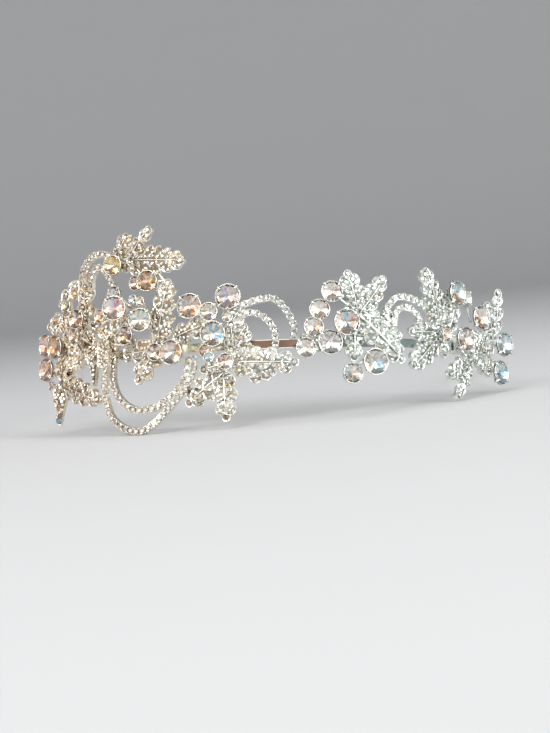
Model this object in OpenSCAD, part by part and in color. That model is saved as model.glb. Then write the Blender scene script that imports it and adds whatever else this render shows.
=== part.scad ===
/* [Band] */
// Distance from the middle of the head opening to the middle of the strip
band_r = 66; // [62:0.5:72]
// Thickness of the strip
band_t = 1.2; // [0.8:0.1:1.6]
// Height of the strip
band_h = 2.6; // [1.6:0.1:3.2]
// Radius that each plain arm spreads out at
arm_r = 400; // [250:10:600]
// Sweep of each plain arm, in degrees
arm_sweep = 8.5; // [4:0.5:11]

/* [Leaves] */
// Thickness of a leaf's plate
leaf_t = 1.1; // [0.8:0.1:1.5]
// Height of the midrib above a leaf's edges
leaf_keel = 0.6; // [0:0.1:1]
// Rise of a leaf's middle, as a share of its length
leaf_bow = 0.06; // [0:0.01:0.1]
// Depth of the notch between two lobes, as a share of the half width
leaf_notch = 0.32; // [0.1:0.02:0.44]
// Length of edge that one lobe takes
lobe_pitch = 4.4; // [3.4:0.1:6]
// Thickness of the stem wires behind the leaves
stem_w = 1.2; // [0.8:0.1:1.4]

/* [Crystals] */
// Depth of a crystal below its girdle, as a share of its width
pavilion = 0.36; // [0.3:0.02:0.4]
// Height of a crystal above its girdle, as a share of its width
crown = 0.17; // [0.12:0.01:0.22]
// Depth of a cup's rim below the crystal's girdle, as a share of the crystal's width
rim_drop = 0.06; // [0.04:0.01:0.1]
// Width of the table, as a share of the crystal's width
table_w = 0.56; // [0.5:0.02:0.62]
// Wall of a crystal's cup at the rim
cup_wall = 0.35; // [0.25:0.05:0.5]
// Gap between a crystal and the metal round it
seat_gap = 0.08; // [0.06:0.01:0.12]

/* [Stone chains] */
// Width of the row of cups
chain_w = 1.95; // [1.8:0.05:2.1]
// Depth of the row of cups
chain_h = 1.3; // [1:0.1:1.6]
// Distance from one chain stone to the next
chain_pitch = 2.05; // [2:0.05:2.3]
// Width of a chain stone
chain_stone_w = 1.5; // [1.3:0.05:1.6]

/* [Hidden] */
// How the headband lies when it is put down: turned front up, turned to one side, then shifted
rest_pitch = -7.8;
rest_roll = 3.4;
rest_shift = [-0.5, 7.15, 13.6];

// Sides of the cut stones and their cups
stone_sides = 8;
// Metal left below a stone's point, and the width of the cup's floor as a share of its rim
cup_floor = 0.6;
cup_taper = 0.55;
// Taper of each wire along its length, and the width of a cup's wire as a share of the stem's
wire_taper = 0.9;
cup_wire = 0.7;
// Collar that holds a spray on the band: width, wall, gap to the strip
collar_w = 3;
collar_wall = 1.2;
collar_gap = 0.1;
// Height of a chain stone, its gap to the row of cups, and the room that other metal leaves a chain
chain_stone_h = 0.6;
chain_stone_gap = 0.12;
chain_room = 0.15;
// Steps of the chain's curve between two points of its route
curve_steps = 4;

// Stems: the points that a spray's wires run through, as [degrees round the band, height, out]
crown_stem = [[-29.5, 0, 2], [-29, 8, 2.5], [-28, 15, 3], [-27, 20, 3.5], [-31, 25.5, 4], [-35.5, 27, 5],
    [-39.5, 27, 4.5]];
left_stem = [[-49, 0, 2], [-49, 3, 5], [-49.5, 12, 6.5], [-51, 22, 7], [-55, 11, 7.5], [-58.5, 2, 8],
    [-59, -7, 9.5]];
left_mid_stem = [[-37, 0, 2], [-37, 4, 2.4], [-37.5, 6.5, 4], [-42.5, 3, 4.5], [-42, 11, 4], [-37, 13.5, 4],
    [-32, 11, 4]];
centre_left_stem = [[-26, 0, 2], [-28.5, 0, 4], [-24, 3, 4], [-19.5, 7.5, 4], [-15.5, 8, 4.5]];
centre_stem = [[-11, 0, 2], [-12, -8, 4], [-10, -5, 4], [-9.5, -1.5, 3.5], [-9.8, 5, 3.5], [-10, 10.5, 4]];
bead_stem = [[8, 0, 2], [9, 4, 3], [11, 9, 3.5], [13, 14, 4]];
right_stem = [[20, 0, 2], [18.5, -8, 4], [21.5, -5.5, 4.5], [19, 2.5, 4], [20, 7.5, 4.5], [26, 1, 4]];
far_right_stem = [[43, 0, 2], [43.5, 3, 4.5], [46.5, 3.5, 5], [45, 10, 4.5], [47, 14, 5], [49.5, 6, 5]];
right_end_stem = [[56, 0, 2], [54, -4.5, 6], [61.5, -6.5, 8], [58.5, -3, 7], [63, 0, 8.5], [59, 6.5, 7.5]];

// Leaves: number of the stem point that it springs from, tip, width, turn about the midrib
ROOT = 0;
TIP = 1;
WIDE = 2;
TURN = 3;
crown_leaves = [
    [5, [-28.5, 36, 6], 4.4, 0],
    [6, [-35, 35, 6], 6.4, 0],
    [5, [-33, 33.5, 4], 5, 0],
    [5, [-19.5, 24.8, 7], 8, 0],
    [6, [-28, 24, 3.6], 6, 0],
];
left_leaves = [
    [3, [-59.5, 16.5, 9], 6, 0],
    [2, [-47, 22, 9.5], 5.4, 20],
    [4, [-63.5, 10.3, 11], 5, 0],
    [6, [-59.5, -20, 10], 5.6, -30],
    [6, [-42.5, -14, 9.5], 7.4, 0],
    [5, [-56.5, -6.5, 10.5], 5, 0],
    [1, [-58, 2.5, 9], 6.8, 0],
    [1, [-59.5, -4.5, 9], 7, 0],
    [1, [-45.8, -9.5, 8], 4.2, 0],
    [5, [-54, 12, 9], 5.4, 0],
    [1, [-52, 14, 8], 6, 0],
];
left_mid_leaves = [
    [2, [-46, 1, 5], 6.4, 0],
    [3, [-46.5, 9.5, 5], 5, 0],
    [3, [-43, -4, 5.5], 5, 0],
    [3, [-34.5, 10.5, 6], 6.4, 0],
];
centre_left_leaves = [
    [1, [-24, 20.2, 6], 7.8, 0],
    [2, [-15, 6.5, 5], 6.4, 0],
    [1, [-41.5, -0.8, 2.8], 5.2, 0],
    [1, [-34, -9.8, 6], 7, 0],
];
centre_leaves = [
    [3, [-6.3, 6, 5], 6.6, 0],
    [3, [-9.8, 7, 4.5], 5, 0],
    [2, [-1, -10, 4], 6.6, 0],
    [2, [5.6, -6, 6], 8.4, 0],
    [1, [-21.2, -17, 5], 7.4, 0],
    [1, [-11.5, -22.2, 5], 7, 0],
    [2, [-18, -7, 3.5], 4.6, 0],
    [3, [-4.5, -1.5, 3], 4.2, 0],
];
right_leaves = [
    [4, [17.3, 20.6, 5], 7.6, 0],
    [4, [26.7, 18.8, 6], 6, 0],
    [4, [31, -6.3, 6], 8.2, 0],
    [3, [18.5, -6, 4.5], 5.4, 0],
    [5, [28.3, 9.5, 4], 4.8, 0],
    [5, [32, 1.8, 3.5], 5.2, 0],
    [4, [27, 6.8, 4], 3.8, 0],
    [5, [18, 2, 3.5], 4.6, 0],
];
far_right_leaves = [
    [1, [38, 22, 6], 8, 0],
    [1, [32.8, 2.8, 5.5], 5.4, 0],
    [1, [32.8, -7.8, 6], 8, 0],
    [1, [45, -4.5, 5], 4.4, 0],
    [2, [48.5, 13, 6], 6, -15],
    [3, [49.5, 17, 5.5], 4.2, 0],
];
right_end_leaves = [
    [4, [59.5, 13.5, 9], 6, -35],
    [4, [63, 17.5, 11.5], 4.4, 0],
    [1, [42.5, -10.2, 8], 5.8, 0],
    [1, [45, -17.2, 9], 4.2, 20],
    [4, [51, -4, 7], 6.8, 0],
    [3, [55.5, -9.3, 9], 5, 20],
    [4, [52.5, 2.5, 7], 5.6, 0],
];

// Crystals: middle of the girdle as [degrees, height, out], width
PLACE = 0;
SIZE = 1;
crown_crystals = [[[-38, 25.5, 10], 5.8], [[-29.5, 20, 8], 6], [[-34, 20, 6], 4.2]];
left_crystals = [
    [[-65, 5, 12], 7],
    [[-57.5, 3.5, 13], 7],
    [[-65, -2.5, 12], 7],
    [[-57, -3, 12], 4],
    [[-53, 15.5, 12], 5],
    [[-49, 11, 12], 5.8],
    [[-50, 6, 12], 4.8],
];
left_mid_crystals = [
    [[-42.5, 11, 10], 4],
    [[-40, 17, 7], 5.4],
    [[-36.5, 12.5, 12], 7],
    [[-30.6, 8.5, 10.2], 6.6],
    [[-35.5, 4.5, 9], 5.4],
];
centre_left_crystals = [
    [[-23.5, -1.5, 9], 7],
    [[-28, -1, 8], 5],
    [[-19, 11.5, 8], 7.2],
    [[-14.5, 9.5, 8], 5.2],
];
centre_crystals = [[[-13.5, 3, 9], 7.2], [[-16, -1.5, 6.1], 3.8], [[-10, 13.5, 8], 7.2], [[-11, -5, 8], 4.6]];
bead_crystals = [
    [[7, -2, 8], 5.6],
    [[13.2, 14, 8.3], 6],
    [[10.5, 9, 7], 5.8],
    [[9, 4, 7], 5.6],
    [[12.5, -0.5, 8], 7],
];
right_crystals = [[[16, 5, 10], 7.4], [[22, -6.5, 11], 7.4], [[17.5, -9.5, 8], 5.8]];
far_right_crystals = [[[46.5, 14.5, 10], 7.2], [[51, 13.5, 9], 5.4], [[49, 1, 10], 7.2], [[43, 2, 9], 3.8]];
right_end_crystals = [[[56, 8, 10], 7.2], [[66, 0.5, 12], 7.2], [[62.5, -8.5, 12], 7.2]];
crystals = concat(crown_crystals, left_crystals, left_mid_crystals, centre_left_crystals, centre_crystals,
    bead_crystals, right_crystals, far_right_crystals, right_end_crystals);

// Small accent stones, in the same columns, each set into the spray that it sits on
left_accents = [[[-64, -7.5, 11], 3]];
left_mid_accents = [[[-33.5, 15, 9], 2.6], [[-30.5, 14, 9], 2.6]];
centre_accents = [[[-15, -3.5, 7], 3], [[-10.5, 8, 6.2], 3], [[-8, 6.5, 6], 3]];
right_end_accents = [[[57, -1, 10], 2.8], [[58.5, -6, 11], 3]];
accents = concat(left_accents, left_mid_accents, centre_accents, right_end_accents);

// Chains: name, then the route as [degrees, height, out]
NAME = 0;
ROUTE = 1;
chains = [
    ["swag_outer", [[-42, 1.5, 7.5], [-42, -5, 8.5], [-42, -11, 9], [-40.5, -18, 9], [-37, -22, 9],
        [-32, -23.8, 9], [-27.5, -22.5, 8], [-23.5, -18, 8], [-21.5, -13, 7.5], [-20, -6, 6]]],
    ["swag_inner", [[-40.3, -1, 6], [-40, -9, 7], [-37.5, -14, 7], [-33.5, -17.3, 7], [-29, -17.3, 7],
        [-25, -15, 6], [-22, -11, 5], [-20, -6, 3]]],
    ["left_arch_outer", [[-49, 18, 9], [-49.5, 24.5, 8.5], [-48, 28.5, 7.5], [-44.5, 30, 7], [-41, 29, 6]]],
    ["left_arch_inner", [[-48.5, 18, 6.5], [-48, 23.5, 6.5], [-46, 26.3, 6], [-43.5, 24.5, 5.5],
        [-41, 19.5, 5]]],
    ["centre_arch_outer", [[-7.8, 10.6, 6.5], [-3.5, 12.3, 6], [0, 12.5, 6], [2.5, 10, 5], [4.5, 5.5, 4],
        [4.7, 1.5, 2.5]]],
    ["centre_arch_inner", [[-7, 8.7, 6.5], [-4, 8.5, 6], [-1, 6, 5], [0.2, 2.5, 4], [0.2, -2, 3]]],
    ["right_arch_outer", [[27, 4, 6], [27, 9, 6], [29.5, 12.5, 7], [33.5, 12.3, 7], [37.5, 10, 7]]],
    ["right_arch_inner", [[28.8, 4.5, 6], [29.8, 8.6, 6], [32, 9.8, 7], [35, 7.5, 7], [35.7, 3.5, 7]]],
];

// Sprays: name, stem, leaves, crystals, accents
STEM = 1;
LEAVES = 2;
STONES = 3;
ACCENTS = 4;
sprays = [
    ["crown_spray", crown_stem, crown_leaves, crown_crystals, []],
    ["left_spray", left_stem, left_leaves, left_crystals, left_accents],
    ["left_mid_spray", left_mid_stem, left_mid_leaves, left_mid_crystals, left_mid_accents],
    ["centre_left_spray", centre_left_stem, centre_left_leaves, centre_left_crystals, []],
    ["centre_spray", centre_stem, centre_leaves, centre_crystals, centre_accents],
    ["bead_row", bead_stem, [], bead_crystals, []],
    ["right_spray", right_stem, right_leaves, right_crystals, []],
    ["far_right_spray", far_right_stem, far_right_leaves, far_right_crystals, []],
    ["right_end_spray", right_end_stem, right_end_leaves, right_end_crystals, right_end_accents],
];

function crystal_name(i) = str("crystal_", i < 9 ? "0" : "", i + 1);

// Places round the band
function unit(v) = v / norm(v);
function outward(deg) = [sin(deg), -cos(deg), 0];
function at_band(p) = (band_r + p[2]) * outward(p[0]) + [0, 0, p[1]];
function frame(x, y, z, o) = [for (i = [0:2]) [x[i], y[i], z[i], o[i]], [0, 0, 0, 1]];

// Lays the headband down as it rests by itself
module at_rest() {
    translate(rest_shift) rotate([rest_pitch, rest_roll, 0]) children();
}

// A solid through rings that all have the same number of points
module skin(rings) {
    n = len(rings[0]);
    last = len(rings) - 1;
    points = [for (r = rings) each r];
    sides = [for (i = [0:last - 1], k = [0:n - 1])
        [i * n + k, i * n + (k + 1) % n, (i + 1) * n + (k + 1) % n, (i + 1) * n + k]];
    start = [[for (k = [n - 1:-1:0]) k]];
    end = [[for (k = [0:n - 1]) last * n + k]];
    polyhedron(points, concat(start, sides, end), convexity = 4);
}
function circle_ring(r, z) =
    [for (k = [0:stone_sides - 1]) [r * cos(-k * 360 / stone_sides), r * sin(-k * 360 / stone_sides), z]];

// One leaf blade along +X with its face up: each lobe has a notch and, further on, its widest point.
// The blade lies on its stem's wire, sunk into it by a share of its thickness.
notch_at = 0.2;
crest_at = 0.75;
base_w = 0.3;
tip_w = 0.25;
full_keel_at = 1.5;
sunk = 0.25;
function blade_width(s) = base_w + (1 - base_w) * sin(180 * pow(s, 0.8));
function blade_ring(length, half, s) =
    let (x = s * length, back = 4 * leaf_bow * length * s * (1 - s) - leaf_t * sunk, front = back + leaf_t,
        keel = leaf_keel * min(1, half / full_keel_at))
    [[x, -half, front], [x, 0, front + keel], [x, half, front], [x, half, back], [x, -half, back]];
module blade(length, width) {
    lobes = max(2, round(length / lobe_pitch));
    step = 1 / (lobes + notch_at);
    lobe_cuts = [for (k = [0:lobes - 1], notch = [true, false])
        let (s = (k + (notch ? notch_at : crest_at)) * step)
        [s, blade_width(s) * (notch ? 1 - leaf_notch : 1)]];
    cuts = concat([[0, base_w]], lobe_cuts, [[1, tip_w]]);
    skin([for (c = cuts) blade_ring(length, c[1] * width / 2, c[0])]);
}
module leaf(row, stem) {
    base = stem[row[ROOT]];
    b = at_band(base);
    t = at_band(row[TIP]);
    x = unit(t - b);
    y = unit(cross(outward((base[0] + row[TIP][0]) / 2), x));
    multmatrix(frame(x, y, cross(x, y), b)) rotate([row[TURN], 0, 0]) blade(norm(t - b), row[WIDE]);
}

// Crystals and their settings, with the table facing out
module stone_place(place) {
    o = outward(place[0]);
    x = [-o[1], o[0], 0];
    multmatrix(frame(x, cross(o, x), o, at_band(place))) children();
}
module stone(d, gap = 0) {
    n = stone_sides;
    r = d / 2 + gap;
    point = [0, 0, -d * pavilion - 2 * gap];
    points = concat([point], circle_ring(r, 0), circle_ring(r * table_w, d * crown + gap));
    below = [for (k = [0:n - 1]) [0, 1 + (k + 1) % n, 1 + k]];
    above = [for (k = [0:n - 1]) [1 + k, 1 + (k + 1) % n, 1 + n + (k + 1) % n, 1 + n + k]];
    table = [[for (k = [0:n - 1]) 1 + n + k]];
    polyhedron(points, concat(below, above, table), convexity = 2);
}
module cup(d) {
    rim = d / 2 + cup_wall;
    skin([circle_ring(rim * cup_taper, -d * pavilion - cup_floor), circle_ring(rim, -d * rim_drop)]);
}

// A stem wire, and the collar that sets a spray on the band
module wire(a, b, w) {
    hull() {
        translate(a) cube(w, center = true);
        translate(b) cube(w * wire_taper, center = true);
    }
}
module collar(deg) {
    room = [band_t + 2 * collar_gap, band_h + 2 * collar_gap];
    rotate(deg) translate([0, -band_r, 0]) difference() {
        cube([collar_w, room[0] + 2 * collar_wall, room[1] + 2 * collar_wall], center = true);
        cube([collar_w + 1, room[0], room[1]], center = true);
    }
}
function nearest(p, list) = let (d = [for (q = list) norm(at_band(q) - p)]) list[search(min(d), d)[0]];

// A chain: a curve through its route, cut into equal steps
function curve_point(a, b, c, d, t) =
    0.5 * (2 * b + (c - a) * t + (2 * a - 5 * b + 4 * c - d) * t * t + (3 * b - a - 3 * c + d) * t * t * t);
function curve(route) =
    let (p = [for (r = route) at_band(r)], n = len(p),
        q = concat([2 * p[0] - p[1]], p, [2 * p[n - 1] - p[n - 2]]))
    [for (i = [0:n - 2], k = [0:curve_steps - 1])
        curve_point(q[i], q[i + 1], q[i + 2], q[i + 3], k / curve_steps), p[n - 1]];
function lengths(c, i = 0, sum = 0) =
    i == len(c) - 1 ? [sum] : concat([sum], lengths(c, i + 1, sum + norm(c[i + 1] - c[i])));
function along(c, l, s, i = 0) = i >= len(c) - 2 || s <= l[i + 1]
    ? c[i] + (c[i + 1] - c[i]) * (s - l[i]) / (l[i + 1] - l[i])
    : along(c, l, s, i + 1);
function chain_points(route, middles = false) =
    let (c = curve(route), l = lengths(c), total = l[len(l) - 1], n = floor(total / chain_pitch))
    [for (k = [0:middles ? n - 1 : n]) along(c, l, (middles ? k + 0.5 : k) * total / n)];
function heading(c, i) = unit(c[min(i + 1, len(c) - 1)] - c[max(i - 1, 0)]);
function facing(p, t) = let (o = unit([p[0], p[1], 0])) unit(o - (o * t) * t);
module chain_rail(route, room = 0) {
    c = chain_points(route);
    last = len(c) - 1;
    w = chain_w / 2 + room;
    h = chain_h / 2 + room;
    top = room > 0 ? h + chain_stone_gap + chain_stone_h : h;
    skin([for (i = [0:last])
        let (t = heading(c, i), n = facing(c[i], t), b = cross(n, t),
            m = c[i] + t * (i == 0 ? -room : i == last ? room : 0))
        [m - w * b + top * n, m + w * b + top * n, m + w * b - h * n, m - w * b - h * n]]);
}
module chain(route) {
    c = chain_points(route, middles = true);
    color("silver") chain_rail(route);
    color("white") for (i = [0:len(c) - 1]) {
        t = heading(c, i);
        n = facing(c[i], t);
        multmatrix(frame(t, cross(n, t), n, c[i])) translate([0, 0, chain_h / 2 + chain_stone_gap])
            rotate(180 / stone_sides) cylinder(d = chain_stone_w, h = chain_stone_h, $fn = 8);
    }
}

// The pieces
module half_arm() {
    translate([band_r + arm_r, 0, 0]) rotate(180 - arm_sweep) {
        rotate_extrude(angle = arm_sweep, $fn = 96)
            translate([arm_r, 0]) square([band_t, band_h], center = true);
        translate([arm_r - band_t / 2, 0, 0]) rotate([0, 90, 0]) cylinder(d = band_h, h = band_t, $fn = 32);
    }
}
module band() {
    color("silver") {
        rotate(180) rotate_extrude(angle = 180, $fn = 96)
            translate([band_r, 0]) square([band_t, band_h], center = true);
        half_arm();
        mirror([1, 0, 0]) half_arm();
    }
}
module spray(s) {
    stem = s[STEM];
    color("gainsboro") difference() {
        union() {
            collar(stem[0][0]);
            for (i = [0:len(stem) - 2]) wire(at_band(stem[i]), at_band(stem[i + 1]), stem_w);
            for (row = s[LEAVES]) leaf(row, stem);
            for (row = concat(s[STONES], s[ACCENTS])) {
                back = at_band(row[PLACE] - [0, 0, row[SIZE] * pavilion + cup_floor]);
                stone_place(row[PLACE]) cup(row[SIZE]);
                wire(at_band(nearest(back, stem)), back, stem_w * cup_wire);
            }
        }
        for (row = concat(crystals, accents)) stone_place(row[PLACE]) stone(row[SIZE], seat_gap);
        for (c = chains) chain_rail(c[ROUTE], chain_room);
    }
}
module crystal(i) {
    color("aliceblue") stone_place(crystals[i][PLACE]) stone(crystals[i][SIZE]);
}
module accent_stones() {
    color("aliceblue") for (row = accents) stone_place(row[PLACE]) stone(row[SIZE]);
}

at_rest() band();
for (s = sprays) at_rest() spray(s);
for (i = [0:len(crystals) - 1]) at_rest() crystal(i);
at_rest() accent_stones();
for (c = chains) at_rest() chain(c[ROUTE]);
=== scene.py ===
"""Dresses the filigree headband: pave leaves, cut crystals in claw cups, cup chains and the stage."""
import math
import random

import bmesh
import bpy
from bpy.props import FloatProperty, FloatVectorProperty, IntProperty, PointerProperty
from mathutils import Matrix, Vector


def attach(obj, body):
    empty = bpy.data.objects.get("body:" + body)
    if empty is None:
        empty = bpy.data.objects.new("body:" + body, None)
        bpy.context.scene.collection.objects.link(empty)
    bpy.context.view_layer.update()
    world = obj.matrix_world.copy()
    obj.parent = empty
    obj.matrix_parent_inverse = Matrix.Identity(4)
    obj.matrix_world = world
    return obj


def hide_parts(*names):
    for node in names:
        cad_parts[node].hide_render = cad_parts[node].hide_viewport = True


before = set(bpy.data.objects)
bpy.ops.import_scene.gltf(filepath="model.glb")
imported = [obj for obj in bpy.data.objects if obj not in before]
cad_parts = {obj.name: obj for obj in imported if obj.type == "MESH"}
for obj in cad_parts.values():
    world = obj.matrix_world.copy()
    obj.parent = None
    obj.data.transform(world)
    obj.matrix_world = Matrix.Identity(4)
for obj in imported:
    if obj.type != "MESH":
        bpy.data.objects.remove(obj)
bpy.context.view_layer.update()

bl_info = {
    "name": "Filigree headband",
    "version": (1, 0, 0),
    "blender": (4, 5, 0),
    "location": "3D View > Sidebar > Headband",
    "description": "Builds the looks of a filigree headband round its frame",
    "category": "Add Mesh",
}

MM = 0.001
BAND_R = 66 * MM
BAND_T = 1.2 * MM
BAND_H = 2.6 * MM

# Numbers of a piece's materials: in a spray plate and beds, in a chain plate and stones, in a crystal
# glass and foil. A crystal's facet is foil where it faces forward by less than the last value.
PLATE, BEDS, STONES = 0, 1, 1
GLASS, FOIL, FOIL_FROM = 0, 1, 0.1

# Share of a leaf's plate that stands above its stems, its rim round the sunk bed, and the bed's depth
LEAF_ABOVE = 0.75
BED_RIM = 0.26 * MM
BED_DEEP = 0.16 * MM

# Outline of a leaf: its base as a share of its full width, the power that puts its widest place a little
# before the middle, and the half width from which its keel has its full rise
LEAF_BASE = 0.42
LEAF_FULLEST = 0.85
KEEL_FULL = 1.5 * MM

# Round tip of a leaf: its largest radius, the same as a share of the leaf's width, its reach and its
# broader start by that radius, and the length of midrib that it takes from the pairs of lobes
TIP_R = 1.3 * MM
TIP_SHARE = 0.3
TIP_REACH = 1.6
TIP_START = 1.2
TIP_TAKES = 2.2 * MM

# Pairs of lobes: the first one's place and the room past the last one, in pairs, and the largest radius
# of a lobe as a share of its room along the midrib and of the leaf's half width there
FIRST_PAIR = 0.72
LAST_ROOM = 0.6
LOBE_ROOM = 0.6
LOBE_HALF = 0.88

# Smooth leaves: radius at the base as a share of the width, and radius of the point
SMOOTH_BASE = 0.46
SMOOTH_POINT = 0.7 * MM

# Midribs: how far the wire lies in the leaf, how far a heavy one does and how much thicker that is, and,
# by the setting, the radius at a leaf's base and what it loses towards the tip, in so many stretches
RIB_SUNK = 0.16 * MM
HEAVY_RIB_SUNK = 0.1 * MM
HEAVY_RIB = 2
RIB_BASE, RIB_LOSS, RIB_STEPS = 1.35, 0.55, 5

# Distance of the pave from the midrib, by the wire's radius and the stone's width
KERB_WIRE = 0.7
KERB_STONE = 0.38

# Solder knots at a stem's bends, by its radius
KNOT = 1.15

# How far a pave stone sinks in its seat, its height as a share of its width, and how many of its facets
# have one tint
SEAT_SUNK = 0.12 * MM
PAVE_HIGH = 0.11
ONE_TINT = 0.9

# Room that a pave stone and a metal bead need: to the outline, and between two stones by their widths
SEAT_EDGE = 0.06 * MM
SEAT_SPACE = 0.475
BEAD_EDGE = 0.45 * MM
BEAD_CLEAR = 0.02 * MM

# Cups: wall past the stone's girdle, depth below its point, the narrow floor as a share of the mouth, how
# deep the mouth lies below the girdle by the stone's width, and the wires that hold cups and plates
CUP_WALL = 0.2 * MM
CUP_BELOW = 0.9 * MM
CUP_FLOOR = 0.55
CUP_MOUTH = 0.04
BACK_WIRE_R = 0.45 * MM

# Rim of a cup: its height above the girdle by the stone's width, and how far its middle is past the stone
RIM_ABOVE = 0.02
RIM_CLEAR = 0.03 * MM

# Claws: how far their middle is past the stone, and their radii in mm from the foot to the tip
CLAW_CLEAR = 0.15 * MM
CLAW_RADII = (0.34, 0.36, 0.34, 0.26)

# Seat of a crystal in its cup: the lip round it, its depth by the stone's width, and its narrow bottom
CUP_LIP = 0.16 * MM
CUP_SEAT = 0.24
CUP_POINT = 0.25

# Most that a crystal leans in its cup and that any stone is turned about its own axis, in radians
CRYSTAL_LEAN = 0.06
STONE_TURN = 0.8

# Thickness of a crystal's girdle as a share of its width
GIRDLE = 0.03

# Chains: beads at a cup's corners, the wire behind the row, and how much more its stones lean than pave
CHAIN_BEAD_R = 0.24 * MM
CHAIN_WIRE_R = 0.4 * MM
CHAIN_SWAY = 1.6

# Square cups: their length as a share of their step, the lip round a cup's seat and the seat's depth, how
# far the beads stand from the middle by the step and the width, and how deep the wire lies by the depth
CHAIN_FILL = 0.88
CHAIN_LIP = 0.2 * MM
CHAIN_SEAT = 0.25 * MM
CHAIN_CORNER = (0.42, 0.43)
CHAIN_WIRE_DEEP = 0.28

# How the headband lies when it is put down, as in the frame
REST_PITCH = math.radians(-7.8)
REST_ROLL = math.radians(3.4)
REST_SHIFT = Vector((-0.5, 7.15, 13.6)) * MM
AT_REST = (Matrix.Translation(REST_SHIFT) @ Matrix.Rotation(REST_ROLL, 4, "Y")
           @ Matrix.Rotation(REST_PITCH, 4, "X"))

# Stems: the points that a spray's wires run through, as (degrees round the band, height, out) in mm
STEMS = {
    "crown_spray": [(-29.5, 0, 2), (-29, 8, 2.5), (-28, 15, 3), (-27, 20, 3.5), (-31, 25.5, 4),
                    (-35.5, 27, 5), (-39.5, 27, 4.5)],
    "left_spray": [(-49, 0, 2), (-49, 3, 5), (-49.5, 12, 6.5), (-51, 22, 7), (-55, 11, 7.5),
                   (-58.5, 2, 8), (-59, -7, 9.5)],
    "left_mid_spray": [(-37, 0, 2), (-37, 4, 2.4), (-37.5, 6.5, 4), (-42.5, 3, 4.5), (-42, 11, 4),
                       (-37, 13.5, 4), (-32, 11, 4)],
    "centre_left_spray": [(-26, 0, 2), (-28.5, 0, 4), (-24, 3, 4), (-19.5, 7.5, 4), (-15.5, 8, 4.5)],
    "centre_spray": [(-11, 0, 2), (-12, -8, 4), (-10, -5, 4), (-9.5, -1.5, 3.5), (-9.8, 5, 3.5),
                     (-10, 10.5, 4)],
    "bead_row": [(8, 0, 2), (9, 4, 3), (11, 9, 3.5), (13, 14, 4)],
    "right_spray": [(20, 0, 2), (18.5, -8, 4), (21.5, -5.5, 4.5), (19, 2.5, 4), (20, 7.5, 4.5),
                    (26, 1, 4)],
    "far_right_spray": [(43, 0, 2), (43.5, 3, 4.5), (46.5, 3.5, 5), (45, 10, 4.5), (47, 14, 5),
                        (49.5, 6, 5)],
    "right_end_spray": [(56, 0, 2), (54, -4.5, 6), (61.5, -6.5, 8), (58.5, -3, 7), (63, 0, 8.5),
                        (59, 6.5, 7.5)],
}

# Leaves: number of the stem point that it springs from, tip, width in mm, turn about the midrib
ROOT, TIP, WIDE, TURN = range(4)
LEAVES = {
    "crown_spray": [
        (5, (-28.5, 36, 6), 4.4, 0),
        (6, (-35, 35, 6), 6.4, 0),
        (5, (-33, 33.5, 4), 5, 0),
        (5, (-19.5, 24.8, 7), 8, 0),
        (6, (-28, 24, 3.6), 6, 0),
    ],
    "left_spray": [
        (3, (-59.5, 16.5, 9), 6, 0),
        (2, (-47, 22, 9.5), 5.4, 20),
        (4, (-63.5, 10.3, 11), 6, 0),
        (6, (-59.5, -20, 10), 6.4, -30),
        (6, (-42.5, -14, 9.5), 7.4, 0),
        (5, (-56.5, -6.5, 10.5), 5, 0),
        (1, (-58, 2.5, 9), 6.8, 0),
        (1, (-59.5, -4.5, 9), 7, 0),
        (1, (-45.8, -9.5, 8), 5.2, 0),
        (5, (-54, 12, 9), 5.4, 0),
        (1, (-52, 14, 8), 6, 0),
    ],
    "left_mid_spray": [
        (2, (-46, 1, 5), 6.4, 0),
        (3, (-46.5, 9.5, 5), 5, 0),
        (3, (-43, -4, 5.5), 5, 0),
        (3, (-34.5, 10.5, 6), 6.4, 0),
    ],
    "centre_left_spray": [
        (1, (-24, 20.2, 6), 7.8, 0),
        (2, (-15, 6.5, 5), 6.4, 0),
        (1, (-41.5, -0.8, 2.8), 5.2, 0),
        (1, (-34, -9.8, 6), 7, 0),
    ],
    "centre_spray": [
        (3, (-6.3, 6, 5), 6.6, 0),
        (3, (-9.8, 7, 4.5), 5, 0),
        (2, (-1, -10, 4), 6.6, 0),
        (2, (5.6, -6, 6), 8.4, 0),
        (1, (-21.2, -17, 5), 7.4, 0),
        (1, (-11.5, -22.2, 5), 7, 0),
        (2, (-18, -7, 3.5), 4.6, 0),
        (3, (-4.5, -1.5, 3), 4.2, 0),
    ],
    "bead_row": [],
    "right_spray": [
        (4, (17.3, 20.6, 5), 7.6, 0),
        (4, (26.7, 18.8, 6), 6, 0),
        (4, (31, -6.3, 6), 8.2, 0),
        (3, (18.5, -6, 4.5), 5.4, 0),
        (5, (28.3, 9.5, 4), 4.8, 0),
        (5, (32, 1.8, 3.5), 5.2, 0),
        (4, (27, 6.8, 4), 3.8, 0),
        (5, (18, 2, 3.5), 4.6, 0),
    ],
    "far_right_spray": [
        (1, (38, 22, 6), 8, 0),
        (1, (32.8, 2.8, 5.5), 5.4, 0),
        (1, (32.8, -7.8, 6), 8, 0),
        (1, (45, -4.5, 5), 4.4, 0),
        (2, (48.5, 13, 6), 6, -15),
        (3, (49.5, 17, 5.5), 4.2, 0),
    ],
    "right_end_spray": [
        (4, (59.5, 13.5, 9), 6, -35),
        (4, (63, 17.5, 11.5), 4.4, -40),
        (1, (42.5, -10.2, 8), 5.8, 0),
        (1, (45, -17.2, 9), 4.2, 20),
        (4, (51, -4, 7), 6.8, 0),
        (3, (55.5, -9.3, 9), 5, 20),
        (4, (52.5, 2.5, 7), 5.6, 0),
    ],
}

# Width of a crystal whose claws have their full thickness
LARGE_CRYSTAL = 7 * MM

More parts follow.
